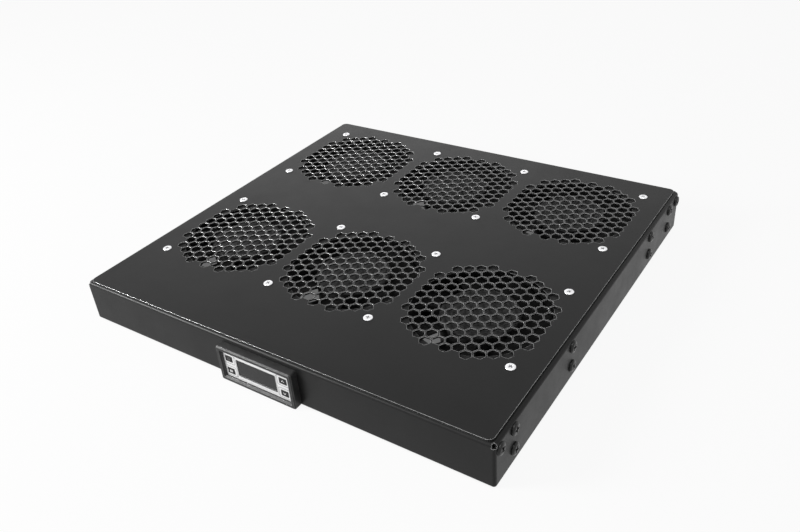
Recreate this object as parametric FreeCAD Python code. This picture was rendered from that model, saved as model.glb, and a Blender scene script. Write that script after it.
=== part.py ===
import FreeCAD, Part
import math, os
from FreeCAD import Vector as V

os.makedirs("parts", exist_ok=True)

# Rack fan tray: a shallow folded-steel tray with six mains axial fans in two rows of three,
# a flat honeycomb cover, a panel thermostat in the front wall and a power inlet at the back.
# Millimetres. +Z is up, the front wall faces -Y, the origin is the middle of the underside.

# ---- tray and cover ----
TRAY_W = 406.0              # outside width of the tray (X)
TRAY_D = 385.0              # outside depth of the tray (Y)
SHEET = 1.5                 # sheet thickness of tray and cover
BEND_R = 2.5                # outside radius of every fold
FLANGE_W = 14.0             # width of the top flanges, measured from the outside
NOTCH = 3.0                 # corner relief where two top flanges meet
COVER_W = 399.0
COVER_D = 381.0
COVER_CORNER_R = 5.0

# ---- fans ----
FAN_PITCH_X = 125.0
ROW_Y = (-67.0, 111.0)      # centres of the front and the back row
FAN_SIDE = 119.6            # square side of a fan housing
FAN_H = 38.0
FAN_CORNER_R = 5.0
FAN_HOLE_PITCH = 105.0
FAN_HOLE_D = 4.5            # across the flats
FAN_FLANGE_T = 5.0          # thickness of the two square end flanges
DUCT_R = 57.5
DUCT_WALL = 2.0
STRUTS = 4
STRUT_W = 5.0
STRUT_H = 5.0
MOTOR_R = 33.0              # disc that carries the motor
MOTOR_DISC_T = 3.0
TUBE_R = 7.5                # bearing tube
TUBE_TOP = 28.0
TUBE_FLOOR = 1.5            # thickness of the floor of the bearing tube
SHAFT_R = 2.5
SHAFT_END = 3.0
SHAFT_RUN = 0.05            # running clearance of the shaft in its tube
STATOR_R = 25.0
STATOR_Z = (6.5, 24.5)
POLE_W = 13.0
HUB_R = 33.0                # rotor cup
HUB_WALL = 3.6
HUB_TOP_T = 2.0
HUB_Z = (7.0, 36.0)
BLADES = 7
BLADE_TIP_R = 56.2
BLADE_Z = (9.0, 33.0)
BLADE_ROOT_ANGLE = 36.0     # degrees from the plane of rotation
BLADE_TIP_ANGLE = 26.5
BLADE_T = 2.2               # thickness of a blade in the middle of its width
BLADE_EDGE_T = 0.6
BLADE_CAMBER = 0.10         # rise of a blade's middle over half its width
BLADE_FLATS = 3             # flat strips that make up each side of a blade

# ---- honeycomb grilles ----
HEX_PITCH = 10.15           # spacing of neighbouring cells
HEX_FLAT = 8.9              # width of a cell across its flats
GRILLE_R = 5.95             # cells whose centre lies within this many pitches are cut
FLOOR_HOLE_R = 58.0         # round openings of the floor, one below each fan

# ---- fasteners ----
FIT = 0.05                  # clearance that stands in for a thread or a press fit
SEAT = 0.1                  # clearance left at seated faces inside small parts
FAN_SCREW_R = 2.0
FAN_SCREW_HEAD_R = 4.0
FAN_SCREW_HEAD_H = 0.9
FAN_SCREW_L = 40.3
SIDE_SCREW_R = 2.5
SIDE_HEAD_R = 5.0
SIDE_HEAD_H = 2.2
SIDE_SCREW_L = 6.0
SIDE_UP_Z = 32.0
SIDE_LOW_Z = 13.5
SIDE_END_Y = 185.2          # single screws near both ends, upper row only
SIDE_PAIR_Y = 164.7         # outer pairs
SMALL_SCREW = (1.5, 2.75, 1.8)   # radius, head radius and head height of the M3 screws

# ---- thermostat ----
CTRL_X = -1.5
CTRL_Z = 17.6
BEZEL_W, BEZEL_H, BEZEL_T = 77.0, 34.0, 7.2
BEZEL_CORNER_R = 2.0
BEZEL_CHAMFER = 1.0
BEZEL_SLOPE = 1.4           # sloping inner side of the rim round the inlay
INLAY_W, INLAY_H, INLAY_T = 67.0, 24.5, 1.5
INLAY_SUNK = 2.4
CASE_W, CASE_H, CASE_D = 70.4, 28.4, 52.0
CASE_WALL = 2.5
CUTOUT_W, CUTOUT_H = 71.0, 29.0
WINDOW_W, WINDOW_H = 38.6, 15.0
KEY_W, KEY_H = 7.0, 5.4
KEY_X, KEY_Z = 27.8, 6.2
KEY_TRAVEL = 0.5
KEY_GAP = 0.2
BOARD_Y = 6.5               # front face of the circuit board behind the outside of the wall
BOARD_T = 1.6

# ---- power inlet ----
INLET_X = 122.5
INLET_Z = 20.5
INLET_FLANGE = (50.0, 23.0, 3.0)
INLET_BODY = (27.6, 20.2, 17.0)
INLET_CAVITY = (24.2, 16.6, 16.0)
INLET_SCREW_X = 20.0

# ---- terminal block ----
BLOCK_POS = (-62.5, 22.0)
BLOCK_SIZE = (60.0, 17.0, 14.0)
BLOCK_WAYS = 6

TRAY_H = SHEET + FAN_H      # height of the tray: the fans fill it from the floor to the flanges
COVER_TOP = TRAY_H + SHEET
FRONT = -TRAY_D / 2
REAR = TRAY_D / 2


def block(x0, x1, y0, y1, z0, z1):
    return Part.makeBox(x1 - x0, y1 - y0, z1 - z0, V(x0, y0, z0))


def centred(w, d, z0, z1, x=0.0, y=0.0):
    return block(x - w / 2, x + w / 2, y - d / 2, y + d / 2, z0, z1)


def rod(r, z0, z1, x=0.0, y=0.0):
    return Part.makeCylinder(r, z1 - z0, V(x, y, z0))


def ring(r_out, r_in, z0, z1):
    return rod(r_out, z0, z1).cut(rod(r_in, z0 - 1, z1 + 1))


def merged(shapes):
    return shapes[0].fuse(shapes[1:]).removeSplitter()


def rounded_upright(shape, radius, keep=lambda e: True):
    """Rounds the upright edges of a shape."""
    edges = [e for e in shape.Edges
             if abs(e.BoundBox.XLength) < 1e-6 and abs(e.BoundBox.YLength) < 1e-6 and keep(e)]
    return shape.makeFillet(radius, edges)


def moved(shape, x=0.0, y=0.0, z=0.0):
    out = shape.copy()
    out.translate(V(x, y, z))
    return out


def fan_places():
    """Fans 1-3 are the front row from left to right, 4-6 the back row."""
    return [(col * FAN_PITCH_X, y) for y in ROW_Y for col in (-1, 0, 1)]


def fan_hole_places():
    """The cover is screwed down at both ends of each row and all round the middle fan."""
    half = FAN_HOLE_PITCH / 2
    columns = (-FAN_PITCH_X - half, -half, half, FAN_PITCH_X + half)
    return [(x, y + s * half) for y in ROW_Y for x in columns for s in (-1, 1)]


def side_screw_places():
    upper = [-SIDE_END_Y, -SIDE_PAIR_Y, *ROW_Y, SIDE_PAIR_Y, SIDE_END_Y]
    lower = [-SIDE_PAIR_Y, *ROW_Y, SIDE_PAIR_Y]
    return [(y, SIDE_UP_Z) for y in upper] + [(y, SIDE_LOW_Z) for y in lower]


# ---------------------------------------------------------------- tray and cover
def tray_body(inset, radius, z0, z1):
    body = centred(TRAY_W - 2 * inset, TRAY_D - 2 * inset, z0, z1)
    return body.makeFillet(radius, body.Edges)


def chassis():
    """Folded tray: floor, four walls and four top flanges turned inwards."""
    shell = tray_body(0, BEND_R, 0, TRAY_H)
    shell = shell.cut(tray_body(SHEET, BEND_R - SHEET, SHEET, TRAY_H - SHEET))
    tools = [centred(TRAY_W - 2 * FLANGE_W, TRAY_D - 2 * FLANGE_W, TRAY_H - 5, TRAY_H + 5)]
    for x, y in fan_places():
        tools.append(rod(FLOOR_HOLE_R, -1, SHEET + 1, x, y))
    for x, y in fan_hole_places():
        tools.append(rod(FAN_SCREW_R + FIT, -1, SHEET + 1, x, y))
    for sx in (-1, 1):
        for sy in (-1, 1):
            tools.append(centred(2 * NOTCH, 2 * NOTCH, TRAY_H - NOTCH, TRAY_H + 1,
                                 sx * TRAY_W / 2, sy * TRAY_D / 2))
        for y, z in side_screw_places():
            tools.append(Part.makeCylinder(SIDE_SCREW_R + FIT, 6, V(sx * TRAY_W / 2 - 3, y, z),
                                           V(1, 0, 0)))
    tools.append(block(CTRL_X - CUTOUT_W / 2, CTRL_X + CUTOUT_W / 2, FRONT - 1, FRONT + 4,
                       CTRL_Z - CUTOUT_H / 2, CTRL_Z + CUTOUT_H / 2))
    w, h = INLET_BODY[0] + 2 * KEY_GAP, INLET_BODY[1] + 2 * KEY_GAP
    tools.append(block(INLET_X - w / 2, INLET_X + w / 2, REAR - 4, REAR + 1,
                       INLET_Z - h / 2, INLET_Z + h / 2))
    for s in (-1, 1):
        tools.append(Part.makeCylinder(1.5 + FIT, 6, V(INLET_X + s * INLET_SCREW_X, REAR - 4, INLET_Z),
                                       V(0, 1, 0)))
        tools.append(rod(1.5 + FIT, -1, SHEET + 1, BLOCK_POS[0] + s * block_screw_x(), BLOCK_POS[1]))
    return shell.cut(tools)


def hexagon(x, y, z):
    """Cell outline with two flats facing the front and the back."""
    r = HEX_FLAT / math.sqrt(3)
    corners = [V(x + r * math.cos(a), y + r * math.sin(a), z)
               for a in (math.radians(60 * i) for i in range(7))]
    return Part.makePolygon(corners)


def honeycomb_cells():
    """Centres of the cells of one grille, in columns that interlock by half a pitch."""
    cells = []
    for column in range(-6, 7):
        x = column * HEX_PITCH * math.sqrt(3) / 2
        shift = 0.5 if column % 2 == 0 else 0.0
        for row in range(-7, 8):
            y = (row + shift) * HEX_PITCH
            if math.hypot(x, y) < GRILLE_R * HEX_PITCH:
                cells.append((x, y))
    return cells


def top_cover():
    """Flat cover cut with six honeycomb grilles and drilled for the fan screws."""
    outline = rounded_upright(centred(COVER_W, COVER_D, TRAY_H, COVER_TOP), COVER_CORNER_R)
    top = [f for f in outline.Faces if f.normalAt(0, 0).z > 0.5][0]
    cells = honeycomb_cells()
    wires = [top.OuterWire]
    for x, y in fan_places():
        wires += [hexagon(x + cx, y + cy, COVER_TOP) for cx, cy in cells]
    sheet = Part.makeFace(wires, "Part::FaceMakerBullseye").extrude(V(0, 0, -SHEET))
    holes = [rod(FAN_SCREW_R + FIT, TRAY_H - 1, COVER_TOP + 1, x, y) for x, y in fan_hole_places()]
    return sheet.cut(holes)


# ---------------------------------------------------------------- fan
def screw_hole(x, y):
    """Hole with eight flats through both flanges of a fan housing."""
    r = FAN_HOLE_D / 2 / math.cos(math.pi / 8)
    corners = [V(x + r * math.cos(a), y + r * math.sin(a), -1)
               for a in (math.radians(45 * i + 22.5) for i in range(9))]
    return Part.Face(Part.makePolygon(corners)).extrude(V(0, 0, FAN_H + 2))


def fan_frame():
    """Die-cast housing: square flanges, round duct, struts, motor disc and bearing tube."""
    body = rounded_upright(centred(FAN_SIDE, FAN_SIDE, 0, FAN_H), FAN_CORNER_R)
    core = centred(2 * (DUCT_R + DUCT_WALL), 2 * (DUCT_R + DUCT_WALL), 0, FAN_H)
    core.rotate(V(0, 0, 0), V(0, 0, 1), 45)
    waist = centred(2 * FAN_SIDE, 2 * FAN_SIDE, FAN_FLANGE_T, FAN_H - FAN_FLANGE_T).cut(core)
    half = FAN_HOLE_PITCH / 2
    holes = [screw_hole(sx * half, sy * half) for sx in (-1, 1) for sy in (-1, 1)]
    body = body.cut([waist, rod(DUCT_R, -1, FAN_H + 1)] + holes)
    carrier = [rod(MOTOR_R, 0, MOTOR_DISC_T), rod(TUBE_R, 0, TUBE_TOP)]
    for i in range(STRUTS):
        arm = centred(DUCT_R + 1 - MOTOR_R / 2, STRUT_W, 0, STRUT_H, (DUCT_R + 1 + MOTOR_R / 2) / 2)
        arm.rotate(V(0, 0, 0), V(0, 0, 1), 45 + 360.0 * i / STRUTS)
        carrier.append(arm)
    return merged([body] + carrier).cut(rod(SHAFT_R + SHAFT_RUN, TUBE_FLOOR, FAN_H))


def fan_stator():
    """Four-pole pack with its windings, pressed on the bearing tube."""
    z0, z1 = STATOR_Z
    pole = centred(2 * STATOR_R, POLE_W, z0, z1)
    winding = centred(2 * STATOR_R - 8, POLE_W + 6, z0 - 1.5, z1 + 1.5)
    pack = [pole, winding]
    for part in (pole, winding):
        turned = part.copy()
        turned.rotate(V(0, 0, 0), V(0, 0, 1), 90)
        pack.append(turned)
    return merged(pack).cut(rod(TUBE_R + FIT, 0, FAN_H))


def blade_rim(radius, angle):
    """Cambered blade section wrapped round the axis at this radius: (upper, lower) point pairs."""
    rise = (BLADE_Z[1] - BLADE_Z[0]) / 2
    run = rise / math.tan(math.radians(angle))
    half = math.hypot(run, rise)
    pairs = []
    for step in range(BLADE_FLATS + 1):
        along = 2 * step / BLADE_FLATS - 1
        bulge = 1 - along ** 2
        thick = BLADE_EDGE_T + (BLADE_T - BLADE_EDGE_T) * bulge
        pair = []
        for side in (1, -1):
            across = BLADE_CAMBER * half * bulge + side * thick / 2
            turn = (along * run - across * rise / half) / radius
            z = sum(BLADE_Z) / 2 + along * rise + across * run / half
            pair.append(V(radius * math.cos(turn), radius * math.sin(turn), z))
        pairs.append(pair)
    return pairs


def fan_blade():
    """Twisted blade in flat facets, from inside the wall of the rotor cup to the tip."""
    root = blade_rim(HUB_R - HUB_WALL / 2, BLADE_ROOT_ANGLE)
    tip = blade_rim(BLADE_TIP_R, BLADE_TIP_ANGLE)
    quads = [(root[0][0], tip[0][0], tip[0][1], root[0][1]),
             (root[-1][1], tip[-1][1], tip[-1][0], root[-1][0])]
    for i in range(BLADE_FLATS):
        quads.append((root[i][0], root[i + 1][0], tip[i + 1][0], tip[i][0]))
        quads.append((root[i][1], tip[i][1], tip[i + 1][1], root[i + 1][1]))
        quads.append((root[i][0], root[i][1], root[i + 1][1], root[i + 1][0]))
        quads.append((tip[i][0], tip[i + 1][0], tip[i + 1][1], tip[i][1]))
    faces = []
    for a, b, c, d in quads:
        faces += [Part.Face(Part.makePolygon([a, b, c, a])), Part.Face(Part.makePolygon([a, c, d, a]))]
    blade = Part.makeSolid(Part.makeShell(faces))
    return blade if blade.Volume > 0 else blade.reversed()


def fan_impeller():
    """Rotor cup, open towards the motor disc, with its shaft and a ring of twisted blades."""
    z0, z1 = HUB_Z
    cup = rod(HUB_R, z0, z1).cut(rod(HUB_R - HUB_WALL, z0 - 1, z1 - HUB_TOP_T))
    parts = [cup, rod(SHAFT_R, SHAFT_END, z1 - HUB_TOP_T / 2)]
    blade = fan_blade()
    for i in range(BLADES):
        turned = blade.copy()
        turned.rotate(V(0, 0, 0), V(0, 0, 1), 360.0 * i / BLADES)
        parts.append(turned)
    return merged(parts)


# ---------------------------------------------------------------- fasteners
def flat_screw(r, head_r, head_h, length):
    """Low-headed screw along +Z: the head rests on the plane z = 0."""
    return rod(head_r, 0, head_h).fuse(rod(r, -length, head_h / 2)).removeSplitter()


def fan_screws():
    """Low-headed screws that clamp cover, fans and floor together."""
    screw = flat_screw(FAN_SCREW_R, FAN_SCREW_HEAD_R, FAN_SCREW_HEAD_H, FAN_SCREW_L)
    return Part.makeCompound([moved(screw, x, y, COVER_TOP) for x, y in fan_hole_places()])


def side_screw():
    """Screw of the right wall; its head rests on the plane x = 0."""
    screw = flat_screw(SIDE_SCREW_R, SIDE_HEAD_R, SIDE_HEAD_H, SIDE_SCREW_L)
    screw.rotate(V(0, 0, 0), V(0, 1, 0), 90)
    return screw


def on_wall(shape, side, x):
    """Copies of a fastener made for the right wall on one side wall of the tray."""
    copies = []
    for y, z in side_screw_places():
        piece = moved(shape, x, y, z)
        copies.append(piece if side > 0 else piece.mirror(V(0, 0, 0), V(1, 0, 0)))
    return Part.makeCompound(copies)


# ---------------------------------------------------------------- thermostat
def panel(w, h, y0, y1, x=0.0, z=0.0):
    """Upright block in the thermostat's own middle; y counts inwards from the wall's outside."""
    return block(CTRL_X + x - w / 2, CTRL_X + x + w / 2, FRONT + y0, FRONT + y1,
                 CTRL_Z + z - h / 2, CTRL_Z + z + h / 2)


INLAY_Y = -BEZEL_T + INLAY_SUNK          # front face of the inlay
LIP_Y = INLAY_Y + INLAY_T                # back of the bezel's lip and of the inlay


def controller_bezel():
    body = panel(BEZEL_W, BEZEL_H, -BEZEL_T, 0)
    corners = [e for e in body.Edges if e.BoundBox.YLength > 1]
    body = body.makeFillet(BEZEL_CORNER_R, corners)
    front = [e for e in body.Edges if abs(e.BoundBox.YMax - (FRONT - BEZEL_T)) < 1e-6]
    body = body.makeChamfer(BEZEL_CHAMFER, front)
    opening = panel(INLAY_W + 2 * KEY_GAP, INLAY_H + 2 * KEY_GAP, -BEZEL_T, 1)
    pocket = panel(CASE_W + 2 * KEY_GAP, CASE_H + 2 * KEY_GAP, LIP_Y, 1)
    body = body.cut([opening, pocket])
    inner = [e for e in body.Edges if abs(e.BoundBox.YMax - (FRONT - BEZEL_T)) < 1e-6
             and abs(e.BoundBox.YLength) < 1e-6
             and max(abs(e.CenterOfMass.x - CTRL_X) * 2 - INLAY_W,
                     abs(e.CenterOfMass.z - CTRL_Z) * 2 - INLAY_H) < 1]
    return body.makeChamfer(BEZEL_SLOPE, inner)


def key_places():
    return {"power": (-KEY_X, KEY_Z), "set": (-KEY_X, -KEY_Z),
            "up": (KEY_X, KEY_Z), "down": (KEY_X, -KEY_Z)}


def controller_inlay():
    plate = panel(INLAY_W, INLAY_H, INLAY_Y, LIP_Y)
    tools = [panel(WINDOW_W + 2 * SEAT, WINDOW_H + 2 * SEAT, INLAY_Y - 1, LIP_Y + 1)]
    for x, z in key_places().values():
        tools.append(panel(KEY_W + 2 * KEY_GAP, KEY_H + 2 * KEY_GAP, INLAY_Y - 1, LIP_Y + 1, x, z))
    return plate.cut(tools)


def controller_window():
    return panel(WINDOW_W, WINDOW_H, INLAY_Y + 0.2, LIP_Y + 0.3)


def controller_key(x, z):
    """Key cap with a collar behind the inlay and a stem that reaches for its switch."""
    cap = panel(KEY_W, KEY_H, INLAY_Y - 0.3, LIP_Y + 0.5, x, z)
    collar = panel(KEY_W + 1.4, KEY_H + 1.4, LIP_Y + KEY_GAP, LIP_Y + KEY_GAP + 1, x, z)
    stem = panel(3, 3, LIP_Y + 0.5, switch_top() - KEY_TRAVEL - SEAT, x, z)
    return merged([cap, collar, stem])


def switch_top():
    return BOARD_Y - 4.0


def key_switches():
    switches = []
    for x, z in key_places().values():
        body = panel(6, 6, BOARD_Y - 3.5, BOARD_Y, x, z)
        plunger = panel(3, 3, switch_top(), BOARD_Y - 3, x, z)
        switches.append(merged([body, plunger]))
    return Part.makeCompound(switches)


def display_module():
    return panel(WINDOW_W - 3, WINDOW_H - 1.5, LIP_Y + 0.5, BOARD_Y)


def controller_board():
    return panel(CASE_W - 2 * CASE_WALL - 2 * SEAT, CASE_H - 2 * CASE_WALL - 2 * SEAT,
                 BOARD_Y, BOARD_Y + BOARD_T)


def controller_case():
    """Moulded case behind the wall: open at the front, closed at the back."""
    body = panel(CASE_W, CASE_H, LIP_Y + KEY_GAP, CASE_D)
    body = body.cut(panel(CASE_W - 2 * CASE_WALL, CASE_H - 2 * CASE_WALL, LIP_Y - 1, CASE_D - CASE_WALL))
    ribs = [panel(1.2, 3, BOARD_Y + BOARD_T, BOARD_Y + BOARD_T + 6, sx * (CASE_W / 2 - CASE_WALL - 0.4),
                  sz * 6) for sx in (-1, 1) for sz in (-1, 1)]
    return merged([body] + ribs)


def controller_terminals():
    """Screw terminal strip on the back of the case."""
    strip = panel(60, 9, CASE_D, CASE_D + 8, 0, -4)
    mouths = [panel(3.6, 4, CASE_D + 3, CASE_D + 9, -27.5 + 5 * i, -5) for i in range(12)]
    return strip.cut(mouths)


def controller_clips():
    """Slide-on clamps that pull the case against the inside of the wall."""
    clips = []
    for s in (-1, 1):
        clip = panel(3.6, 16, SHEET, SHEET + 24, s * (CASE_W / 2 + 1.9))
        slot = panel(2.0, 9, SHEET + 6, SHEET + 20, s * (CASE_W / 2 + 2.9))
        clips.append(clip.cut(slot))
    return Part.makeCompound(clips)


# ---------------------------------------------------------------- power inlet
def rear_panel(w, h, y0, y1, x=0.0, z=0.0):
    """Upright block at the inlet; y counts outwards from the outside of the rear wall."""
    return block(INLET_X + x - w / 2, INLET_X + x + w / 2, REAR + y0, REAR + y1,
                 INLET_Z + z - h / 2, INLET_Z + z + h / 2)


def pin_places():
    return ((-7.0, -2.0), (0.0, 2.0), (7.0, -2.0))


def power_inlet():
    """Appliance inlet with its socket cavity and two fixing lugs."""
    w, h, t = INLET_FLANGE
    plate = rear_panel(w, h, 0, t)
    corners = [e for e in plate.Edges if e.BoundBox.YLength > 1]
    plate = plate.makeChamfer(6.0, corners)
    body = rear_panel(INLET_BODY[0], INLET_BODY[1], -INLET_BODY[2], 0.5)
    cavity = rear_panel(INLET_CAVITY[0], INLET_CAVITY[1], t - INLET_CAVITY[2], t + 1)
    upper = [e for e in cavity.Edges if e.BoundBox.YLength > 1
             and e.BoundBox.ZMin > INLET_Z + INLET_CAVITY[1] / 2 - 0.1]
    cavity = cavity.makeChamfer(4.0, upper)
    holes = [Part.makeCylinder(1.5 + FIT, 8, V(INLET_X + s * INLET_SCREW_X, REAR - 2, INLET_Z),
                               V(0, 1, 0)) for s in (-1, 1)]
    slots = [rear_panel(2.0 + 2 * FIT, 4.0 + 2 * FIT, -INLET_BODY[2] - 1, 0, x, z)
             for x, z in pin_places()]
    return merged([plate, body]).cut([cavity] + holes + slots)


def inlet_pins():
    """Three contact blades with short solder tags behind the body."""
    return Part.makeCompound([rear_panel(2.0, 4.0, -INLET_BODY[2] - 2.5, INLET_FLANGE[2] - 3.5, x, z)
                              for x, z in pin_places()])


def inlet_screws():
    t = INLET_FLANGE[2]
    screw = flat_screw(*SMALL_SCREW, 8)
    screw.rotate(V(0, 0, 0), V(1, 0, 0), -90)
    return Part.makeCompound([moved(screw, INLET_X + s * INLET_SCREW_X, REAR + t, INLET_Z)
                              for s in (-1, 1)])


def inlet_nuts():
    nuts = []
    for s in (-1, 1):
        r = 5.5 / math.sqrt(3)
        corners = [V(INLET_X + s * INLET_SCREW_X + r * math.cos(math.radians(60 * i)), REAR - SHEET,
                     INLET_Z + r * math.sin(math.radians(60 * i))) for i in range(7)]
        nut = Part.Face(Part.makePolygon(corners)).extrude(V(0, -2.4, 0))
        nuts.append(nut.cut(Part.makeCylinder(1.5 + FIT, 6, corners[0] + V(-r, 1, 0), V(0, -1, 0))))
    return Part.makeCompound(nuts)


# ---------------------------------------------------------------- terminal block
def block_screw_x():
    return BLOCK_SIZE[0] / 2 + 4.0


def terminal_block():
    """Barrier strip that joins the fan leads; fixed to the floor between the two rows."""
    w, d, h = BLOCK_SIZE
    x, y = BLOCK_POS
    base = centred(w + 16, d - 5, SHEET, SHEET + 4, x, y)
    body = centred(w, d, SHEET, SHEET + h, x, y)
    pitch = w / BLOCK_WAYS
    bays = [centred(pitch - 1.6, d + 2, SHEET + 7, SHEET + h + 1, x + (i - (BLOCK_WAYS - 1) / 2) * pitch, y)
            for i in range(BLOCK_WAYS)]
    holes = [rod(1.5 + FIT, 0, SHEET + 6, x + s * block_screw_x(), y) for s in (-1, 1)]
    return merged([base, body]).cut(bays + holes)


def block_screws():
    screw = flat_screw(*SMALL_SCREW, 5.2)
    return Part.makeCompound([moved(screw, BLOCK_POS[0] + s * block_screw_x(), BLOCK_POS[1], SHEET + 4)
                              for s in (-1, 1)])


def save(name, shape):
    shape.exportStep(os.path.join("parts", name + ".step"))


def main():
    save("chassis", chassis())
    save("top_cover", top_cover())
    save("fan_screws", fan_screws())
    for side, word in ((-1, "left"), (1, "right")):
        save("side_screws_" + word, on_wall(side_screw(), side, TRAY_W / 2))
    makers = {"fan_frame": fan_frame(), "fan_stator": fan_stator(), "fan_impeller": fan_impeller()}
    for number, (x, y) in enumerate(fan_places(), start=1):
        for name, shape in makers.items():
            save(f"{name}_{number}", moved(shape, x, y, SHEET))
    save("controller_bezel", controller_bezel())
    save("controller_inlay", controller_inlay())
    save("controller_window", controller_window())
    for name, (x, z) in key_places().items():
        save("button_" + name, controller_key(x, z))
    save("key_switches", key_switches())
    save("display_module", display_module())
    save("controller_board", controller_board())
    save("controller_case", controller_case())
    save("controller_terminals", controller_terminals())
    save("controller_clips", controller_clips())
    save("power_inlet", power_inlet())
    save("inlet_pins", inlet_pins())
    save("inlet_screws", inlet_screws())
    save("inlet_nuts", inlet_nuts())
    save("terminal_block", terminal_block())
    save("block_screws", block_screws())


main()
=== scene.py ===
"""Rack fan tray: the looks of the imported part, in metres, in the CAD frame."""
import math

import bmesh
import bpy
import numpy as np
from mathutils import Matrix, Vector


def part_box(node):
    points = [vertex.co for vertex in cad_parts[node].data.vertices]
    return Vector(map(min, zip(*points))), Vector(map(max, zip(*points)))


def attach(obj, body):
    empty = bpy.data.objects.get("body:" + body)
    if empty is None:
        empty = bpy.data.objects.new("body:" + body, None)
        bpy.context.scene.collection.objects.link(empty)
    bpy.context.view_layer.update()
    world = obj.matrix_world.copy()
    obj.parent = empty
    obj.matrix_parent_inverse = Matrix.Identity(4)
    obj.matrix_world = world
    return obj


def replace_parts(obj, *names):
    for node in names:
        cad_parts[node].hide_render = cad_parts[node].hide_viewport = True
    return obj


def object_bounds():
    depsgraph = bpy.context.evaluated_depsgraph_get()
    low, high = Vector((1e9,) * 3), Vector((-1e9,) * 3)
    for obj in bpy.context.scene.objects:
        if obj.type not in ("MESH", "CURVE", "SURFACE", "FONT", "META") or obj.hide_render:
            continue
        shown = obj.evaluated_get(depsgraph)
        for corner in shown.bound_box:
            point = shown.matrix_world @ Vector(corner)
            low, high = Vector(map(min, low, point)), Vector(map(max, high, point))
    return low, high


MM = 0.001
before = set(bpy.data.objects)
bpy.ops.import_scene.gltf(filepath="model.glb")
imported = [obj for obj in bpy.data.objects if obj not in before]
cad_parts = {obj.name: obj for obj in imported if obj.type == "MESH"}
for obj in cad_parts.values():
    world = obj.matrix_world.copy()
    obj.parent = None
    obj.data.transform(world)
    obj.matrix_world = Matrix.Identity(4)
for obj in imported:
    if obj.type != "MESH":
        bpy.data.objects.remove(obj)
cad_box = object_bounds()


# ------------------------------------------------------------------ materials
SOFT_SAMPLES = 6            # rays of the bevel and hollow masks


def feed(tree, socket, source):
    """Links a socket to its source, or sets it to a plain value."""
    if isinstance(source, bpy.types.NodeSocket):
        tree.links.new(source, socket)
    else:
        socket.default_value = source


def combine(tree, operation, first, second):
    """Output of a maths node on two values, each plain or from a socket."""
    made = tree.nodes.new("ShaderNodeMath")
    made.operation = operation
    for socket, source in zip(made.inputs, (first, second)):
        feed(tree, socket, source)
    return made.outputs[0]


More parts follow.
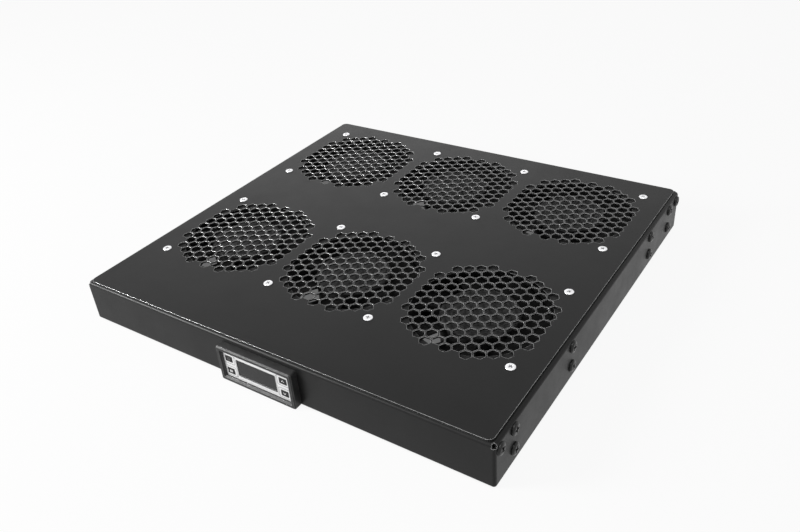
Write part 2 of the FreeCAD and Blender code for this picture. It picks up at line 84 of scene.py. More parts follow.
class Surface:
    """A procedural material on object coordinates, put together from a few kinds of node."""

    def __init__(self, name, **constants):
        self.material = bpy.data.materials.new(name)
        self.material.use_nodes = True
        self.tree = self.material.node_tree
        self.shader = self.tree.nodes["Principled BSDF"]
        self.place = self.node("ShaderNodeTexCoord").outputs["Object"]
        self.normal = None
        for socket, value in constants.items():
            self.shader.inputs[socket.replace("_", " ")].default_value = value

    def node(self, kind, **settings):
        made = self.tree.nodes.new(kind)
        for key, value in settings.items():
            setattr(made, key, value)
        return made

    def wire(self, made, **sources):
        """Links or sets the inputs of a node by name."""
        for socket, source in sources.items():
            feed(self.tree, made.inputs[socket.replace("_", " ")], source)
        return made

    def noise(self, size, detail=3.0, rough=0.55, stretch=(1.0, 1.0, 1.0)):
        """Noise whose blotches are about size metres across, drawn out along the axes."""
        place = self.wire(self.node("ShaderNodeMapping"), Vector=self.place,
                          Scale=tuple(1.0 / s for s in stretch)).outputs["Vector"]
        return self.wire(self.node("ShaderNodeTexNoise"), Vector=place, Scale=1.0 / size,
                         Detail=detail, Roughness=rough).outputs["Fac"]

    def spread(self, factor, low, high, start=0.3, end=0.7):
        """Brings a factor from start..end to low..high, and holds it there."""
        made = self.node("ShaderNodeMapRange")
        return self.wire(made, Value=factor, From_Min=start, From_Max=end,
                         To_Min=low, To_Max=high).outputs["Result"]

    def ramp(self, factor, *stops):
        """Colours along a factor; each stop is (position, (r, g, b))."""
        made = self.node("ShaderNodeValToRGB")
        points = made.color_ramp.elements
        while len(points) < len(stops):
            points.new(0.5)
        for point, (position, colour) in zip(points, stops):
            point.position = position
            point.color = (*colour, 1.0)
        self.wire(made, Fac=factor)
        return made.outputs["Color"]

    def mix(self, factor, first, second):
        """First colour where the factor is 0, second where it is 1."""
        made = self.node("ShaderNodeMix", data_type="RGBA")
        sockets = {s.identifier: s for s in made.inputs}
        feed(self.tree, sockets["Factor_Float"], factor)
        for name, colour in (("A_Color", first), ("B_Color", second)):
            feed(self.tree, sockets[name], (*colour, 1.0) if isinstance(colour, tuple) else colour)
        return next(s for s in made.outputs if s.identifier == "Result_Color")

    def edges(self, radius, start=0.02, end=0.25):
        """0 on flat faces to 1 on corners, and the normal rounded over them. Start and end say how
        far the cosine between the two normals falls below 1."""
        soft = self.wire(self.node("ShaderNodeBevel", samples=SOFT_SAMPLES),
                         Radius=radius).outputs["Normal"]
        flat = self.node("ShaderNodeNewGeometry").outputs["Normal"]
        dot = self.node("ShaderNodeVectorMath", operation="DOT_PRODUCT")
        self.tree.links.new(soft, dot.inputs[0])
        self.tree.links.new(flat, dot.inputs[1])
        self.normal = soft
        return self.spread(dot.outputs["Value"], 1.0, 0.0, 1.0 - end, 1.0 - start)

    def worn(self, edge, flat, wear_and_highlight):
        """Value that runs from flat faces to the edges, where the wear and painted highlights go.
        """
        return self.spread(edge, flat, wear_and_highlight, 0.0, 1.0)

    def times(self, first, second):
        return combine(self.tree, "MULTIPLY", first, second)

    def hollow_shade(self, reach):
        """Painted-shade mask: 0 in the depth of a recess or narrow gap to 1 in the open."""
        made = self.wire(self.node("ShaderNodeAmbientOcclusion", samples=SOFT_SAMPLES),
                         Distance=reach)
        return self.spread(made.outputs["AO"], 0.0, 1.0, 0.4, 0.92)

    def bump(self, height, depth):
        """Relief of that depth, on top of the normal so far."""
        made = self.wire(self.node("ShaderNodeBump"), Height=height, Distance=depth, Strength=1.0)
        if self.normal is not None:
            self.wire(made, Normal=self.normal)
        self.normal = made.outputs["Normal"]

    def done(self, colour, roughness):
        """The finished material."""
        self.wire(self.shader, Base_Color=colour, Roughness=roughness)
        if self.normal is not None:
            self.wire(self.shader, Normal=self.normal)
        return self.material


def grey(value, warm=0.0):
    """Grey of that value, with a share more red and less blue."""
    return (value * (1 + warm), value, value * (1 - warm))


def powder_coat():
    """Satin black powder coat: fine peel, faint clouding, light edges of wear and painted
    highlight.
    """
    s = Surface("powder_coat", Specular_IOR_Level=0.16)
    edge = s.edges(0.45 * MM, 0.002, 0.025)
    cloud = s.ramp(s.noise(45 * MM), (0.3, grey(0.007)), (0.7, grey(0.011)))
    grain = s.ramp(s.noise(0.5 * MM), (0.35, grey(0.006)), (0.65, grey(0.013)))
    coat = s.mix(0.5, cloud, grain)
    # Edge colour: light grey, partly wear and mostly a painted highlight on folds and hole edges;
    # the edges are made half metallic and glossier too.
    wear_and_highlight = s.mix(s.spread(s.noise(6 * MM), 0.0, 1.0, 0.45, 0.65), grey(0.38), grey(0.52))
    s.wire(s.shader, Metallic=s.worn(edge, 0.0, 0.6))
    s.bump(s.noise(2.2 * MM, 2.0), 0.03 * MM)
    s.bump(s.noise(0.45 * MM, 2.0), 0.02 * MM)
    rough = s.spread(s.noise(30 * MM, 5.0, 0.65), 0.34, 0.44)
    return s.done(s.mix(edge, coat, wear_and_highlight), s.times(rough, s.worn(edge, 1.0, 0.6)))


def zinc():
    """Bright zinc on small steel parts, with painted shade in the recesses and round the head's
    foot.
    """
    s = Surface("zinc", Metallic=0.8)
    edge = s.edges(0.15 * MM)
    tone = s.ramp(s.noise(1.6 * MM), (0.3, (0.80, 0.80, 0.82)), (0.7, (0.93, 0.93, 0.94)))
    # Painted shade: near black in the cross recess and round the foot of the head.
    tone = s.mix(s.hollow_shade(1.2 * MM), (0.02, 0.02, 0.02), s.mix(edge, tone, (0.97, 0.97, 0.98)))
    s.bump(s.noise(0.35 * MM), 0.012 * MM)
    return s.done(tone, s.spread(s.noise(0.9 * MM), 0.26, 0.42))


def black_oxide():
    """Black zinc of the side screws, with a painted highlight on the rims and painted shade in the
    recess.
    """
    s = Surface("black_oxide", Specular_IOR_Level=0.3)
    edge = s.edges(0.25 * MM, 0.01, 0.2)
    tone = s.ramp(s.noise(1.2 * MM), (0.3, grey(0.006)), (0.7, grey(0.014)))
    # Painted shade near black in the recess, and a painted highlight of grey 0.16 on the rims.
    tone = s.mix(s.hollow_shade(1.6 * MM), grey(0.001), s.mix(edge, tone, grey(0.16)))
    s.bump(s.noise(0.4 * MM), 0.015 * MM)
    return s.done(tone, s.spread(s.noise(1.0 * MM), 0.24, 0.38))


def casting():
    """Black-painted die casting of the fan housings, with a sandy skin and a painted highlight on
    its edges.
    """
    s = Surface("fan_casting", Specular_IOR_Level=0.12)
    edge = s.edges(0.8 * MM, 0.02, 0.2)
    tone = s.ramp(s.noise(8 * MM), (0.3, grey(0.006)), (0.7, grey(0.012)))
    s.bump(s.noise(0.7 * MM, 4.0), 0.05 * MM)
    s.bump(s.noise(5 * MM), 0.08 * MM)
    rough = s.spread(s.noise(3 * MM), 0.34, 0.52)
    # Painted highlight: the edges, the lips of the ducts among them, are lightened to grey 0.26.
    return s.done(s.mix(edge, tone, grey(0.26)), s.times(rough, s.worn(edge, 1.0, 0.5)))


def impeller_plastic():
    """Dark plastic of the blades, with a little dust."""
    s = Surface("impeller_plastic", Specular_IOR_Level=0.06)
    tone = s.ramp(s.noise(10 * MM), (0.3, grey(0.002)), (0.7, grey(0.004)))
    s.bump(s.noise(0.5 * MM), 0.01 * MM)
    dust = s.noise(2.5 * MM, 6.0, 0.7)
    return s.done(s.mix(s.spread(dust, 0.0, 0.35, 0.5, 0.8), tone, grey(0.02, 0.05)),
                  s.spread(dust, 0.4, 0.6))


def rotor_steel():
    """Drawn steel cup of the motor, dipped dark grey."""
    s = Surface("rotor_steel", Metallic=0.35, Specular_IOR_Level=0.17)
    edge = s.edges(0.4 * MM)
    tone = s.ramp(s.noise(5 * MM), (0.3, grey(0.022)), (0.7, grey(0.034)))
    s.bump(s.noise(0.5 * MM), 0.01 * MM)
    rough = s.spread(s.noise(4 * MM), 0.34, 0.5)
    return s.done(s.mix(edge, tone, grey(0.12)), rough)


def stator_pack():
    """Stacked laminations under varnish, with the copper of the windings showing."""
    s = Surface("stator_pack", Metallic=0.7)
    wave = s.wire(s.node("ShaderNodeTexWave", wave_type="BANDS", bands_direction="Z"),
                  Vector=s.place, Scale=250.0, Distortion=0.4).outputs["Fac"]
    steel = s.ramp(wave, (0.2, grey(0.12)), (0.8, grey(0.30)))
    copper = s.ramp(s.noise(0.6 * MM), (0.3, (0.30, 0.10, 0.05)), (0.7, (0.55, 0.22, 0.10)))
    s.bump(wave, 0.08 * MM)
    where = s.spread(s.noise(7 * MM), 0.0, 1.0, 0.48, 0.52)
    return s.done(s.mix(where, steel, copper), s.spread(wave, 0.35, 0.55))


def moulding(name, dark, light, grain=0.35, edge_highlight=0.02):
    """Spark-textured thermoplastic whose edges are lightened and made metallic: painted highlight,
    with some wear.
    """
    s = Surface(name, Specular_IOR_Level=0.28)
    edge = s.edges(0.3 * MM, 0.002, 0.08)
    tone = s.ramp(s.noise(6 * MM), (0.3, dark), (0.7, light))
    s.bump(s.noise(grain * MM), 0.03 * MM)
    # Edge colour: the light tone raised; a painted highlight, with some wear.
    wear_and_highlight = tuple(min(1.0, 1.4 * c + edge_highlight) for c in light)
    s.wire(s.shader, Metallic=s.worn(edge, 0.0, min(0.6, 1.5 * edge_highlight)))
    rough = s.times(s.spread(s.noise(2 * MM), 0.38, 0.52), s.worn(edge, 1.0, 0.5))
    return s.done(s.mix(edge, tone, wear_and_highlight), rough)


def silver_print():
    """Polyester inlay, printed silver with a fine sparkle."""
    s = Surface("silver_print", Metallic=0.2, Specular_IOR_Level=0.4)
    flake = s.noise(0.22 * MM, 2.0)
    tone = s.ramp(flake, (0.35, grey(0.60)), (0.65, grey(0.78)))
    s.bump(flake, 0.008 * MM)
    return s.done(tone, s.spread(s.noise(1.2 * MM), 0.38, 0.52))


def print_ink(name, value):
    """Matt ink of one grey, a little uneven."""
    s = Surface(name, Specular_IOR_Level=0.4)
    tone = s.ramp(s.noise(0.3 * MM), (0.3, grey(value * 0.9)), (0.7, grey(value)))
    s.bump(s.noise(0.2 * MM), 0.006 * MM)
    return s.done(tone, s.spread(s.noise(0.5 * MM), 0.4, 0.55))


def smoked_window():
    """Dark acrylic in front of the display."""
    s = Surface("smoked_window", Transmission_Weight=0.55, IOR=1.33)
    tone = s.ramp(s.noise(7 * MM), (0.3, grey(0.018)), (0.7, grey(0.028)))
    smear = s.noise(3 * MM, 5.0, 0.7, stretch=(1.0, 1.0, 2.5))
    return s.done(tone, s.spread(smear, 0.06, 0.22))


def circuit_board():
    """Green board with a grid of tracks."""
    s = Surface("circuit_board", Specular_IOR_Level=0.5)
    track = s.node("ShaderNodeTexBrick", offset=0.5)
    s.wire(track, Vector=s.place, Scale=180.0, Color1=(0.01, 0.10, 0.04, 1),
           Color2=(0.01, 0.13, 0.05, 1), Mortar=(0.02, 0.20, 0.07, 1), Mortar_Size=0.03)
    s.bump(track.outputs["Fac"], 0.03 * MM)
    return s.done(track.outputs["Color"], s.spread(s.noise(2 * MM), 0.25, 0.4))


MAKERS = {
    "powder_coat": powder_coat,
    "zinc": zinc,
    "black_oxide": black_oxide,
    "casting": casting,
    "impeller": impeller_plastic,
    "rotor": rotor_steel,
    "stator": stator_pack,
    # The black mouldings get the strongest painted highlight on their edges.
    "black_moulding": lambda: moulding("black_moulding", grey(0.014), grey(0.024), edge_highlight=0.3),
    "key_rubber": lambda: moulding("key_rubber", grey(0.002), grey(0.004), 0.2, 0.01),
    "cream_moulding": lambda: moulding("cream_moulding", grey(0.62, 0.05), grey(0.72, 0.05)),
    "green_moulding": lambda: moulding("green_moulding", (0.02, 0.16, 0.06), (0.03, 0.22, 0.09)),
    "silver_print": silver_print,
    "white_ink": lambda: print_ink("white_ink", 0.9),
    "grey_ink": lambda: print_ink("grey_ink", 0.28),
    "dim_ink": lambda: print_ink("dim_ink", 0.12),
    "segment": lambda: print_ink("segment", 0.10),
    "smoked_window": smoked_window,
    "board": circuit_board,
}
made_materials = {}


def finish(name):
    """The material of that name, made when it is first asked for."""
    if name not in made_materials:
        made_materials[name] = MAKERS[name]()
    return made_materials[name]


CAD_FINISHES = {
    "powder_coat": ["chassis", "top_cover"],
    "zinc": ["inlet_nuts", "inlet_pins", "block_screws"],
    "casting": ["fan_frame_%d" % i for i in range(1, 7)],
    "impeller": ["fan_impeller_%d" % i for i in range(1, 7)],
    "stator": ["fan_stator_%d" % i for i in range(1, 7)],
    "black_moulding": ["controller_bezel", "controller_case", "controller_clips", "key_switches",
                       "display_module", "power_inlet"],
    "key_rubber": ["button_power", "button_set", "button_up", "button_down"],
    "silver_print": ["controller_inlay"],
    "smoked_window": ["controller_window"],
    "green_moulding": ["controller_terminals"],
    "board": ["controller_board"],
    "cream_moulding": ["terminal_block"],
}


def dress_cad():
    """Gives the CAD nodes their materials; their meshes and places stay."""
    for name, nodes in CAD_FINISHES.items():
        for node in nodes:
            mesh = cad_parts[node].data
            mesh.materials.clear()
            mesh.materials.append(finish(name))


# ------------------------------------------------------------------ meshes
def solids(node):
    """(lowest, highest) corner of each separate solid of a CAD node."""
    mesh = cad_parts[node].data
    co = np.array([v.co for v in mesh.vertices])
    keys = {}
    merged = [keys.setdefault(tuple(p), len(keys)) for p in np.round(co, 6)]
    parent = list(range(len(keys)))

    def root(i):
        while parent[i] != i:
            parent[i] = parent[parent[i]]
            i = parent[i]
        return i

    for a, b in mesh.edge_keys:
        parent[root(merged[a])] = root(merged[b])
    groups = {}
    for i, key in enumerate(merged):
        groups.setdefault(root(key), []).append(i)
    return [(Vector(co[g].min(0)), Vector(co[g].max(0))) for g in groups.values()]


def piece(name, mesh, material, body):
    """A visible piece of the scene that rides on a body."""
    mesh.name = name
    mesh.materials.clear()
    mesh.materials.append(finish(material))
    made = bpy.data.objects.new(name, mesh)
    bpy.context.scene.collection.objects.link(made)
    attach(made, body)
    return made


def smooth(mesh, angle=35):
    """Shaded smooth, but sharp where faces meet at more than the angle in degrees."""
    mesh.shade_smooth()
    mesh.set_sharp_from_angle(angle=math.radians(angle))
    return mesh


def turned(profile, segments):
    """Closed solid of revolution about +Z through (radius, height) points, the ends on the axis."""
    bm = bmesh.new()
    rings = []
    for r, z in profile:
        if r == 0:
            rings.append([bm.verts.new((0, 0, z))] * segments)
        else:
            turn = [2 * math.pi * i / segments for i in range(segments)]
            rings.append([bm.verts.new((r * math.cos(a), r * math.sin(a), z)) for a in turn])
    for low, high in zip(rings, rings[1:]):
        for i in range(segments):
            j = (i + 1) % segments
            corners = list(dict.fromkeys((low[i], low[j], high[j], high[i])))
            if len(corners) > 2:
                bm.faces.new(corners)
    bmesh.ops.recalc_face_normals(bm, faces=bm.faces)
    return bm


def as_mesh(bm, name):
    """The bmesh as a mesh; the bmesh is used up."""
    mesh = bpy.data.meshes.new(name)
    bm.to_mesh(mesh)
    bm.free()
    return mesh


def wedge(length, width, z_low, z_high, taper):
    """Bar along X whose floor is smaller than its top by the share taper."""
    bm = bmesh.new()
    corners = bmesh.ops.create_cube(bm, size=1.0)["verts"]
    for v in corners:
        share = 1.0 if v.co.z > 0 else taper
        v.co = (v.co.x * length * share, v.co.y * width * share, z_high if v.co.z > 0 else z_low)
    return bm


def carved(bm, cutters, name):
    """The solid less the cutters, as a mesh."""
    body = bpy.data.objects.new("body", as_mesh(bm, "body"))
    objects = [body]
    bpy.context.scene.collection.objects.link(body)
    for cutter in cutters:
        tool = bpy.data.objects.new("tool", as_mesh(cutter, "tool"))
        bpy.context.scene.collection.objects.link(tool)
        objects.append(tool)
        cut = body.modifiers.new("cut", "BOOLEAN")
        cut.operation, cut.solver, cut.object = "DIFFERENCE", "EXACT", tool
    bpy.context.view_layer.update()
    graph = bpy.context.evaluated_depsgraph_get()
    result = bpy.data.meshes.new_from_object(body.evaluated_get(graph))
    for used in objects:
        bpy.data.objects.remove(used)
    result.name = name
    return result


# height of the head, radius of the shaft and length of a recess arm
COVER_SCREW = (0.9 * MM, 2.0 * MM, 2.1 * MM)
WALL_SCREW = (2.2 * MM, 2.5 * MM, 3.2 * MM)
SOCKET_SCREW = (1.8 * MM, 1.5 * MM, 1.4 * MM)
NARROW_SLOT, WIDE_SLOT = 0.46, 0.6      # width of a recess slot as a share of its arm
FIRST_TURN, NEXT_TURN = 20, 67          # degrees by which the screws of a node are turned


def cross_screw(head_r, head_h, shaft_r, length, recess, slot=NARROW_SLOT):
    """Screw along +Z with a crowned head on z = 0 and a cross recess: a turned middle and two
    shallower bars. The cutters end above the head."""
    above = head_h * 1.2
    profile = [(0, -length), (shaft_r * 0.7, -length), (shaft_r, -length + shaft_r * 0.3),
               (shaft_r, 0), (head_r, 0), (head_r, head_h * 0.35), (head_r * 0.96, head_h * 0.62),
               (head_r * 0.84, head_h * 0.85), (head_r * 0.6, head_h * 0.97), (0, head_h)]
    cutters = [turned([(0, head_h - recess), (recess * 0.3, head_h - recess * 0.8),
                       (recess * 0.55, above), (0, above)], 12)]
    for turn in (0, 90):
        bar = wedge(2 * recess, recess * slot, head_h - recess * 0.45, above, 0.6)
        bmesh.ops.rotate(bar, verts=bar.verts, matrix=Matrix.Rotation(math.radians(turn), 3, "Z"))
        cutters.append(bar)
    return smooth(carved(turned(profile, 32), cutters, "screw"))


def spread_out(mesh, places, name):
    """One mesh holding a copy at each 4x4 place."""
    bm = bmesh.new()
    for place in places:
        start = len(bm.verts)
        bm.from_mesh(mesh)
        bm.verts.ensure_lookup_table()
        bmesh.ops.transform(bm, matrix=place, verts=bm.verts[start:])
    return smooth(as_mesh(bm, name))


def fasteners():
    """Cross-recess screws in place of the plain CAD ones, each turned its own way."""
    def places(node, axis, seat):
        """Where the screws of a node go; seat gives the foot of a head from a solid's box."""
        out = []
        for k, (low, high) in enumerate(solids(node)):
            middle = (low + high) / 2
            spin = Matrix.Rotation(math.radians(NEXT_TURN * k + FIRST_TURN), 4, "Z")
            out.append(Matrix.Translation(seat(middle, low, high))
                       @ axis.to_track_quat("Z", "Y").to_matrix().to_4x4() @ spin)
        return out

    def size(node, along):
        """Head diameter and whole length of a node's screws, which point along that axis."""
        low, high = solids(node)[0]
        across = (along + 1) % 3
        return high[across] - low[across], high[along] - low[along]

    head_h, shaft_r, recess = COVER_SCREW
    wide, tall = size("fan_screws", 2)
    screw = cross_screw(wide / 2, head_h, shaft_r, tall - head_h, recess)
    spots = places("fan_screws", Vector((0, 0, 1)),
                   lambda m, low, high: Vector((m.x, m.y, high.z - head_h)))
    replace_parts(piece("cover_screws", spread_out(screw, spots, "cover_screws"), "zinc", "unit"),
                "fan_screws")

    head_h, shaft_r, recess = WALL_SCREW
    wide, tall = size("side_screws_right", 0)
    screw = cross_screw(wide / 2, head_h, shaft_r, tall - head_h, recess, WIDE_SLOT)
    for side, node in ((1, "side_screws_right"), (-1, "side_screws_left")):
        spots = places(node, Vector((side, 0, 0)),
                       lambda m, low, high: Vector(((high.x if side > 0 else low.x)
                                                    - side * head_h, m.y, m.z)))
        name = node.replace("screws", "wall_screws")
        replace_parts(piece(name, spread_out(screw, spots, name), "black_oxide", "unit"), node)

    head_h, shaft_r, recess = SOCKET_SCREW
    wide, tall = size("inlet_screws", 1)
    screw = cross_screw(wide / 2, head_h, shaft_r, tall - head_h, recess)
    spots = places("inlet_screws", Vector((0, 1, 0)),
                   lambda m, low, high: Vector((m.x, high.y - head_h, m.z)))
    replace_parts(piece("socket_screws", spread_out(screw, spots, "socket_screws"), "zinc", "unit"),
                "inlet_screws")


# ------------------------------------------------------------------ impellers
BLADES = 7
HUB_R = 33.0 * MM
HUB_WALL = 3.6 * MM
SHAFT_R = 2.5 * MM
CUP_H = 29 * MM
CUP_FACE_T = 2 * MM         # thickness of the cup's face
CUP_ROUND = 2.2 * MM        # radius between its wall and its face
CUP_LIP = 0.4 * MM          # chamfer of its open end
# (radius, depth) points of the bead and the dimple in the cup's face
CUP_FACE = ((25 * MM, 0), (24.2 * MM, 0.5 * MM), (23.0 * MM, 0.5 * MM), (22.2 * MM, 0),
            (6.0 * MM, 0), (5.4 * MM, 0.6 * MM), (0, 0.6 * MM))
ROOT_ANGLE, TIP_ANGLE = math.radians(28), math.radians(18)      # from the plane of rotation
ROOT_SUNK = 0.6 * MM        # depth of a blade's root in the cup's wall
CAMBER = 0.10               # rise of a blade's middle over half its width
EDGE_T, SWELL_T = 0.5, 1.7  # thickness of a blade at its edges, and what its middle adds, in mm
BLADE_RISE = 12 * MM        # half the height of a blade
BLADE_DEPTH = 15 * MM       # from the cup's face down to the middle of the blades


def blade_point(radius, angle, rise, along, side):
    """Point of a blade's skin, about the middle of the impeller: along runs from -1 to 1."""
    run = rise / math.tan(angle)
    half = math.hypot(run, rise)
    bulge = 1 - along ** 2
    thick = (EDGE_T + SWELL_T * bulge ** 0.7) * MM
    across = CAMBER * half * bulge + side * thick / 2
    turn = (along * run - across * rise / half) / radius
    return Vector((radius * math.cos(turn), radius * math.sin(turn),
                   along * rise + across * run / half))


def blade_ring(tip_r, rise):
    """Seven smooth twisted blades, closed at root and tip."""
    bm = bmesh.new()
    strips, spans = 12, 6
    root_r = HUB_R - ROOT_SUNK
    steps = [2 * i / strips - 1 for i in range(strips + 1)]
    outline = [(a, 1) for a in steps] + [(a, -1) for a in reversed(steps)]
    for blade in range(BLADES):
        spin = Matrix.Rotation(2 * math.pi * blade / BLADES, 3, "Z")
        loops = []
        for k in range(spans + 1):
            share = k / spans
            radius = root_r + (tip_r - root_r) * share
            angle = ROOT_ANGLE + (TIP_ANGLE - ROOT_ANGLE) * share
            loops.append([bm.verts.new(spin @ blade_point(radius, angle, rise, a, side))
                          for a, side in outline])
        count = len(loops[0])
        for near, far in zip(loops, loops[1:]):
            for i in range(count):
                j = (i + 1) % count
                bm.faces.new((near[i], near[j], far[j], far[i]))
        for loop in (loops[0], loops[-1]):
            for i in range(strips):
                bm.faces.new((loop[i], loop[i + 1], loop[count - 2 - i], loop[count - 1 - i]))
    bmesh.ops.recalc_face_normals(bm, faces=bm.faces)
    return smooth(as_mesh(bm, "blades"), 50)


def rotor_cup(z_low, z_high, shaft_end):
    """Drawn cup with a rolled edge, a shallow bead in its face and the shaft inside."""
    inner, top = HUB_R - HUB_WALL, z_high
    profile = [(0, shaft_end), (SHAFT_R, shaft_end), (SHAFT_R, top - CUP_FACE_T),
               (inner, top - CUP_FACE_T), (inner, z_low), (HUB_R - CUP_LIP, z_low),
               (HUB_R, z_low + CUP_LIP), (HUB_R, top - CUP_ROUND)]
    profile += [(HUB_R - CUP_ROUND * (1 - math.cos(a)), top - CUP_ROUND * (1 - math.sin(a)))
                for a in (math.radians(15 * i) for i in range(1, 7))]
    profile += [(r, top - depth) for r, depth in CUP_FACE]
    return smooth(as_mesh(turned(profile, 72), "cup"), 40)


def impellers():
    """Smooth twisted blades and a rounded cup in place of each faceted CAD impeller."""
    for number in range(1, 7):
        node = "fan_impeller_%d" % number
        low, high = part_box(node)
        centre = (low + high) / 2
        body = "rotor_%d" % number
        blades = blade_ring((high.x - low.x) / 2, BLADE_RISE)
        blades.transform(Matrix.Translation((centre.x, centre.y, high.z - BLADE_DEPTH)))
        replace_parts(piece("blades_%d" % number, blades, "impeller", body), node)
        cup = rotor_cup(high.z - CUP_H, high.z, low.z)
        cup.transform(Matrix.Translation((centre.x, centre.y, 0)))
        piece("rotor_cup_%d" % number, cup, "rotor", body)


# ------------------------------------------------------------------ thermostat face
INK_T = 0.06 * MM           # height of the prints
COLLAR = 1.4 * MM           # by how much a key with its collar is larger than its cap
KEY_FRAME = (4.4 * MM, 4.0 * MM)        # by how much the frame round a key is larger than its cap
FRAME_R, FRAME_LINE = 1.2 * MM, 0.55 * MM
GLYPH_SIZE = 1.25 * MM
SIDE_LINE = 0.5 * MM        # line on each side of the window
SIDE_LINE_OFF = 1.5 * MM    # its distance from the window
SIDE_LINE_END = 2.2 * MM    # its distance from the edge of the inlay
SIDE_LINE_BEND = (0.7 * MM, 1.2 * MM)   # its slanted ends, outwards and along
BORDER = 0.9 * MM           # dark line round the window
SEGMENT_W, SEGMENT_T = 1.1 * MM, 0.05 * MM
DIGIT_PITCH = 0.3           # as a share of the display's width
DIGIT_SQUASH = 0.62         # height of the digits against their layout
SEGMENT_GAP = 0.12          # bare share at each end of a segment


def stroke(points, width, closed=False):
    """Round bar through (x, z) points in the plane y = 0, as thick as width."""
    curve = bpy.data.curves.new("stroke", "CURVE")
    curve.dimensions = "3D"
    curve.bevel_depth = width / 2
    curve.bevel_resolution = 2
    curve.use_fill_caps = True
    spline = curve.splines.new("POLY")
    spline.points.add(len(points) - 1)
    for p, (x, z) in zip(spline.points, points):
        p.co = (x, 0, z, 1)
    spline.use_cyclic_u = closed
    holder = bpy.data.objects.new("stroke", curve)
    mesh = bpy.data.meshes.new_from_object(holder)
    bpy.data.objects.remove(holder)
    bpy.data.curves.remove(curve)
    return mesh


def rounded_box(w, h, r):
    """Outline of a rectangle with rounded corners about the origin."""
    out = []
    for cx, cz, start in ((1, 1, 0), (-1, 1, 90), (-1, -1, 180), (1, -1, 270)):
        for step in range(5):
            a = math.radians(start + 22.5 * step)
            out.append((cx * (w / 2 - r) + r * math.cos(a), cz * (h / 2 - r) + r * math.sin(a)))
    return out


def arc(r, start, end, steps=14):
    """Points of an arc about the origin, from start to end in degrees."""
    turn = [math.radians(start + (end - start) * i / steps) for i in range(steps + 1)]
    return [(r * math.cos(a), r * math.sin(a)) for a in turn]


def printed(name, strokes, at, thickness, material, body):
    """Strokes flattened on an upright face: each is (points, width, closed), about the point at."""
    bm = bmesh.new()
    for points, width, closed in strokes:
        mesh = stroke(points, width, closed)
        start = len(bm.verts)
        bm.from_mesh(mesh)
        bm.verts.ensure_lookup_table()
        flat = Matrix.Diagonal((1, 2 * thickness / width, 1, 1))
        bmesh.ops.transform(bm, matrix=Matrix.Translation(at) @ flat, verts=bm.verts[start:])
    return piece(name, smooth(as_mesh(bm, name), 60), material, body)


def face_middle(node):
    """Middle of a node's front face, and the size of its box."""
    low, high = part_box(node)
    return Vector(((low.x + high.x) / 2, low.y, (low.z + high.z) / 2)), high - low


# signs on the keys, as strokes for a sign of size s
GLYPHS = {
    "power": lambda s: [(arc(0.95 * s, 130, 410), 0.42 * s, False),
                        ([(0, 0.35 * s), (0, 1.3 * s)], 0.42 * s, False)],
    "set": lambda s: [(rounded_box(2.1 * s, 1.1 * s, 0.3 * s), 0.4 * s, True)],
    "up": lambda s: [([(-0.95 * s, -0.55 * s), (0, 0.6 * s), (0.95 * s, -0.55 * s)],
                      0.5 * s, False)],
    "down": lambda s: [([(-0.95 * s, 0.55 * s), (0, -0.6 * s), (0.95 * s, 0.55 * s)],
                        0.5 * s, False)],
}


def thermostat_face():
    """Prints of the thermostat: the signs, the lines on the inlay and the border of the window."""
    inlay, inlay_size = face_middle("controller_inlay")
    window, window_size = face_middle("controller_window")
    frames = []
    for key in GLYPHS:
        middle, size = face_middle("button_" + key)
        cap_w, cap_h = size.x - COLLAR, size.z - COLLAR
        off = middle - inlay
        outline = rounded_box(cap_w + KEY_FRAME[0], cap_h + KEY_FRAME[1], FRAME_R)
        frames.append(([(x + off.x, z + off.z) for x, z in outline], FRAME_LINE, True))
        printed("mark_" + key, GLYPHS[key](GLYPH_SIZE), middle, INK_T,
                "dim_ink" if key == "power" else "white_ink", "key_" + key)
    out, along = SIDE_LINE_BEND
    reach = inlay_size.z / 2 - SIDE_LINE_END
    for side in (-1, 1):
        x = window.x - inlay.x + side * (window_size.x / 2 + SIDE_LINE_OFF)
        frames.append(([(x + side * out, -reach), (x, -reach + along), (x, reach - along),
                        (x + side * out, reach)], SIDE_LINE, False))
    printed("inlay_lines", frames, inlay, INK_T, "grey_ink", "unit")
    border = rounded_box(window_size.x + BORDER, window_size.z + BORDER, 0.5 * MM)
    printed("window_border", [(border, BORDER, True)],
            Vector((window.x, inlay.y, window.z)), INK_T, "key_rubber", "unit")


def display_digits():
    """Three unlit seven-segment digits on the face of the display module."""
    face, size = face_middle("display_module")
    h, w = 0.30 * size.z, 0.10 * size.x
    bars = [((-w, 2 * h), (w, 2 * h)), ((-w, 0), (w, 0)), ((-w, -2 * h), (w, -2 * h)),
            ((-w, 0), (-w, 2 * h)), ((w, 0), (w, 2 * h)),
            ((-w, -2 * h), (-w, 0)), ((w, -2 * h), (w, 0))]
    strokes = []
    for column in (-1, 0, 1):
        cx = column * DIGIT_PITCH * size.x
        for (x0, z0), (x1, z1) in bars:
            dx, dz = SEGMENT_GAP * (x1 - x0), SEGMENT_GAP * (z1 - z0)
            ends = [(x0 + dx + cx, DIGIT_SQUASH * (z0 + dz)),
                    (x1 - dx + cx, DIGIT_SQUASH * (z1 - dz))]
            strokes.append((ends, SEGMENT_W, False))
    printed("display_segments", strokes, face, SEGMENT_T, "segment", "unit")


# ------------------------------------------------------------------ stage, light, camera
FLOOR_REACH = 40.0          # far enough for the horizon to look straight
FLOOR_DROP = 0.3 * MM       # keeps the floor off the underside of the tray
FLOOR_PAINT, SKY = 0.6, 0.215           # grey values
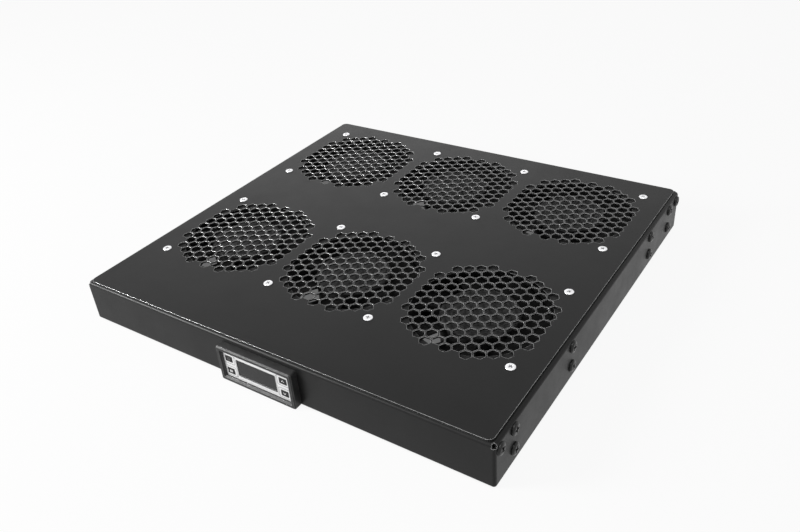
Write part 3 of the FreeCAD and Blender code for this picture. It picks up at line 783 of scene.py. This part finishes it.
# Painted shadow: the floor glows less below the tray, fading back in just inside its outline.
GLOW_INSIDE, GLOW_OUTSIDE = 0.14, 0.78  # share of plain white under the tray, and more outside it
FADE_FROM, FADE_TO = 25 * MM, 4 * MM    # inside the tray's outline, where that share rises
CAMERA_AT, LENS = (0.3694, -0.5116, 0.4147), 35.52
AZIMUTH, ELEVATION, ROLL = 35.69, 33.04, -4.715         # degrees


def shown(tree):
    """Shader value: 1 where the camera sees the surface, in mirrors and through glass too."""
    path = tree.nodes.new("ShaderNodeLightPath").outputs
    return combine(tree, "MAXIMUM", path["Is Camera Ray"],
                   combine(tree, "MAXIMUM", path["Is Glossy Ray"], path["Is Transmission Ray"]))


def outside_tray(tree):
    """Shader value for the painted shadow: 0 on the floor below the tray, rising to 1 just inside
    its outline.
    """
    low, high = cad_box
    place = tree.nodes.new("ShaderNodeTexCoord")
    apart = tree.nodes.new("ShaderNodeSeparateXYZ")
    tree.links.new(place.outputs["Object"], apart.inputs[0])
    either = tree.nodes.new("ShaderNodeMath")
    either.operation = "MAXIMUM"
    for axis in (0, 1):
        size = tree.nodes.new("ShaderNodeMath")
        size.operation = "ABSOLUTE"
        tree.links.new(apart.outputs[axis], size.inputs[0])
        fade = tree.nodes.new("ShaderNodeMapRange")
        fade.interpolation_type = "SMOOTHSTEP"
        half = (high[axis] - low[axis]) / 2
        fade.inputs["From Min"].default_value = half - FADE_FROM
        fade.inputs["From Max"].default_value = half - FADE_TO
        tree.links.new(size.outputs[0], fade.inputs["Value"])
        tree.links.new(fade.outputs["Result"], either.inputs[axis])
    return either.outputs[0]


def mixed(tree, share, first, second):
    """First shader where the share is 0, second where it is 1."""
    made = tree.nodes.new("ShaderNodeMixShader")
    for socket, source in zip(made.inputs, (share, first, second)):
        tree.links.new(source, socket)
    return made.outputs[0]


def ground():
    """Pale floor, seen white, with the object's shadow. It lets light through below the tray and
    is clear from underneath, so that the underside of the tray can be looked at."""
    mesh = bpy.data.meshes.new("floor")
    corners = [(x * FLOOR_REACH, y * FLOOR_REACH, -FLOOR_DROP)
               for x, y in ((-1, -1), (1, -1), (1, 1), (-1, 1))]
    mesh.from_pydata(corners, [], [(0, 1, 2, 3)])
    floor = bpy.data.objects.new("floor", mesh)
    bpy.context.scene.collection.objects.link(floor)
    material = bpy.data.materials.new("floor_paint")
    material.use_nodes = True
    tree = material.node_tree
    tree.nodes.clear()
    paint = tree.nodes.new("ShaderNodeBsdfDiffuse")
    paint.inputs["Color"].default_value = (*grey(FLOOR_PAINT), 1)
    glow = tree.nodes.new("ShaderNodeEmission")
    clear = tree.nodes.new("ShaderNodeBsdfTransparent")
    outside = outside_tray(tree)
    inside = combine(tree, "SUBTRACT", 1.0, outside)
    # Painted shadow under the tray: its glow is lowered there.
    share = combine(tree, "ADD", GLOW_INSIDE, combine(tree, "MULTIPLY", outside, GLOW_OUTSIDE))
    painted = mixed(tree, combine(tree, "MULTIPLY", shown(tree), share),
                    paint.outputs[0], glow.outputs[0])
    diffuse = tree.nodes.new("ShaderNodeLightPath").outputs["Is Diffuse Ray"]
    behind = tree.nodes.new("ShaderNodeNewGeometry").outputs["Backfacing"]
    through = combine(tree, "MAXIMUM", behind, combine(tree, "MULTIPLY", inside, diffuse))
    out = tree.nodes.new("ShaderNodeOutputMaterial")
    tree.links.new(mixed(tree, through, painted, clear.outputs[0]), out.inputs["Surface"])
    mesh.materials.append(material)


def backdrop():
    """World: plain grey light, white where it is seen."""
    world = bpy.data.worlds.new("studio")
    bpy.context.scene.world = world
    world.use_nodes = True
    tree = world.node_tree
    sky = tree.nodes["Background"]
    sky.inputs["Color"].default_value = (*grey(SKY), 1)
    white = tree.nodes.new("ShaderNodeBackground")
    white.inputs["Color"].default_value = (1, 1, 1, 1)
    tree.links.new(mixed(tree, shown(tree), sky.outputs[0], white.outputs[0]),
                   tree.nodes["World Output"].inputs["Surface"])


def softbox(name, at, towards, width, height, power):
    """Rectangular lamp at a place, turned towards another."""
    data = bpy.data.lights.new(name, "AREA")
    data.shape = "RECTANGLE"
    data.size, data.size_y, data.energy = width, height, power
    lamp = bpy.data.objects.new(name, data)
    lamp.location = at
    lamp.rotation_mode = "QUATERNION"
    lamp.rotation_quaternion = (Vector(towards) - Vector(at)).to_track_quat("-Z", "Y")
    bpy.context.scene.collection.objects.link(lamp)


def camera():
    """Three-quarter view from the front right, slightly rolled, long enough to fill the frame."""
    data = bpy.data.cameras.new("camera")
    data.sensor_width, data.lens = 36.0, LENS
    cam = bpy.data.objects.new("camera", data)
    azimuth, elevation, roll = math.radians(AZIMUTH), math.radians(ELEVATION), math.radians(ROLL)
    back = Vector((math.sin(azimuth) * math.cos(elevation),
                   -math.cos(azimuth) * math.cos(elevation), math.sin(elevation)))
    cam.location = CAMERA_AT
    cam.rotation_mode = "QUATERNION"
    cam.rotation_quaternion = ((-back).to_track_quat("-Z", "Y")
                               @ Matrix.Rotation(roll, 3, "Z").to_quaternion())
    bpy.context.scene.collection.objects.link(cam)
    bpy.context.scene.camera = cam


def studio():
    """Floor, world, three lamps and the camera. The front lamp draws the highlight along the
    front fold, and the other two lift the cover and the back."""
    ground()
    backdrop()
    softbox("top_light", (0.3, -0.5, 1.6), (0, 0, 0), 0.7, 0.7, 8)
    softbox("front_light", (-1.2, -1.07, 0.79), (-0.1, -0.19, 0.04), 0.5, 0.6, 40)
    softbox("back_light", (-1.2, 1.5, 0.45), (0, 0, 0), 1.4, 0.5, 2.5)
    camera()


dress_cad()
fasteners()
impellers()
thermostat_face()
display_digits()
studio()
bpy.context.scene.view_settings.view_transform = "Standard"
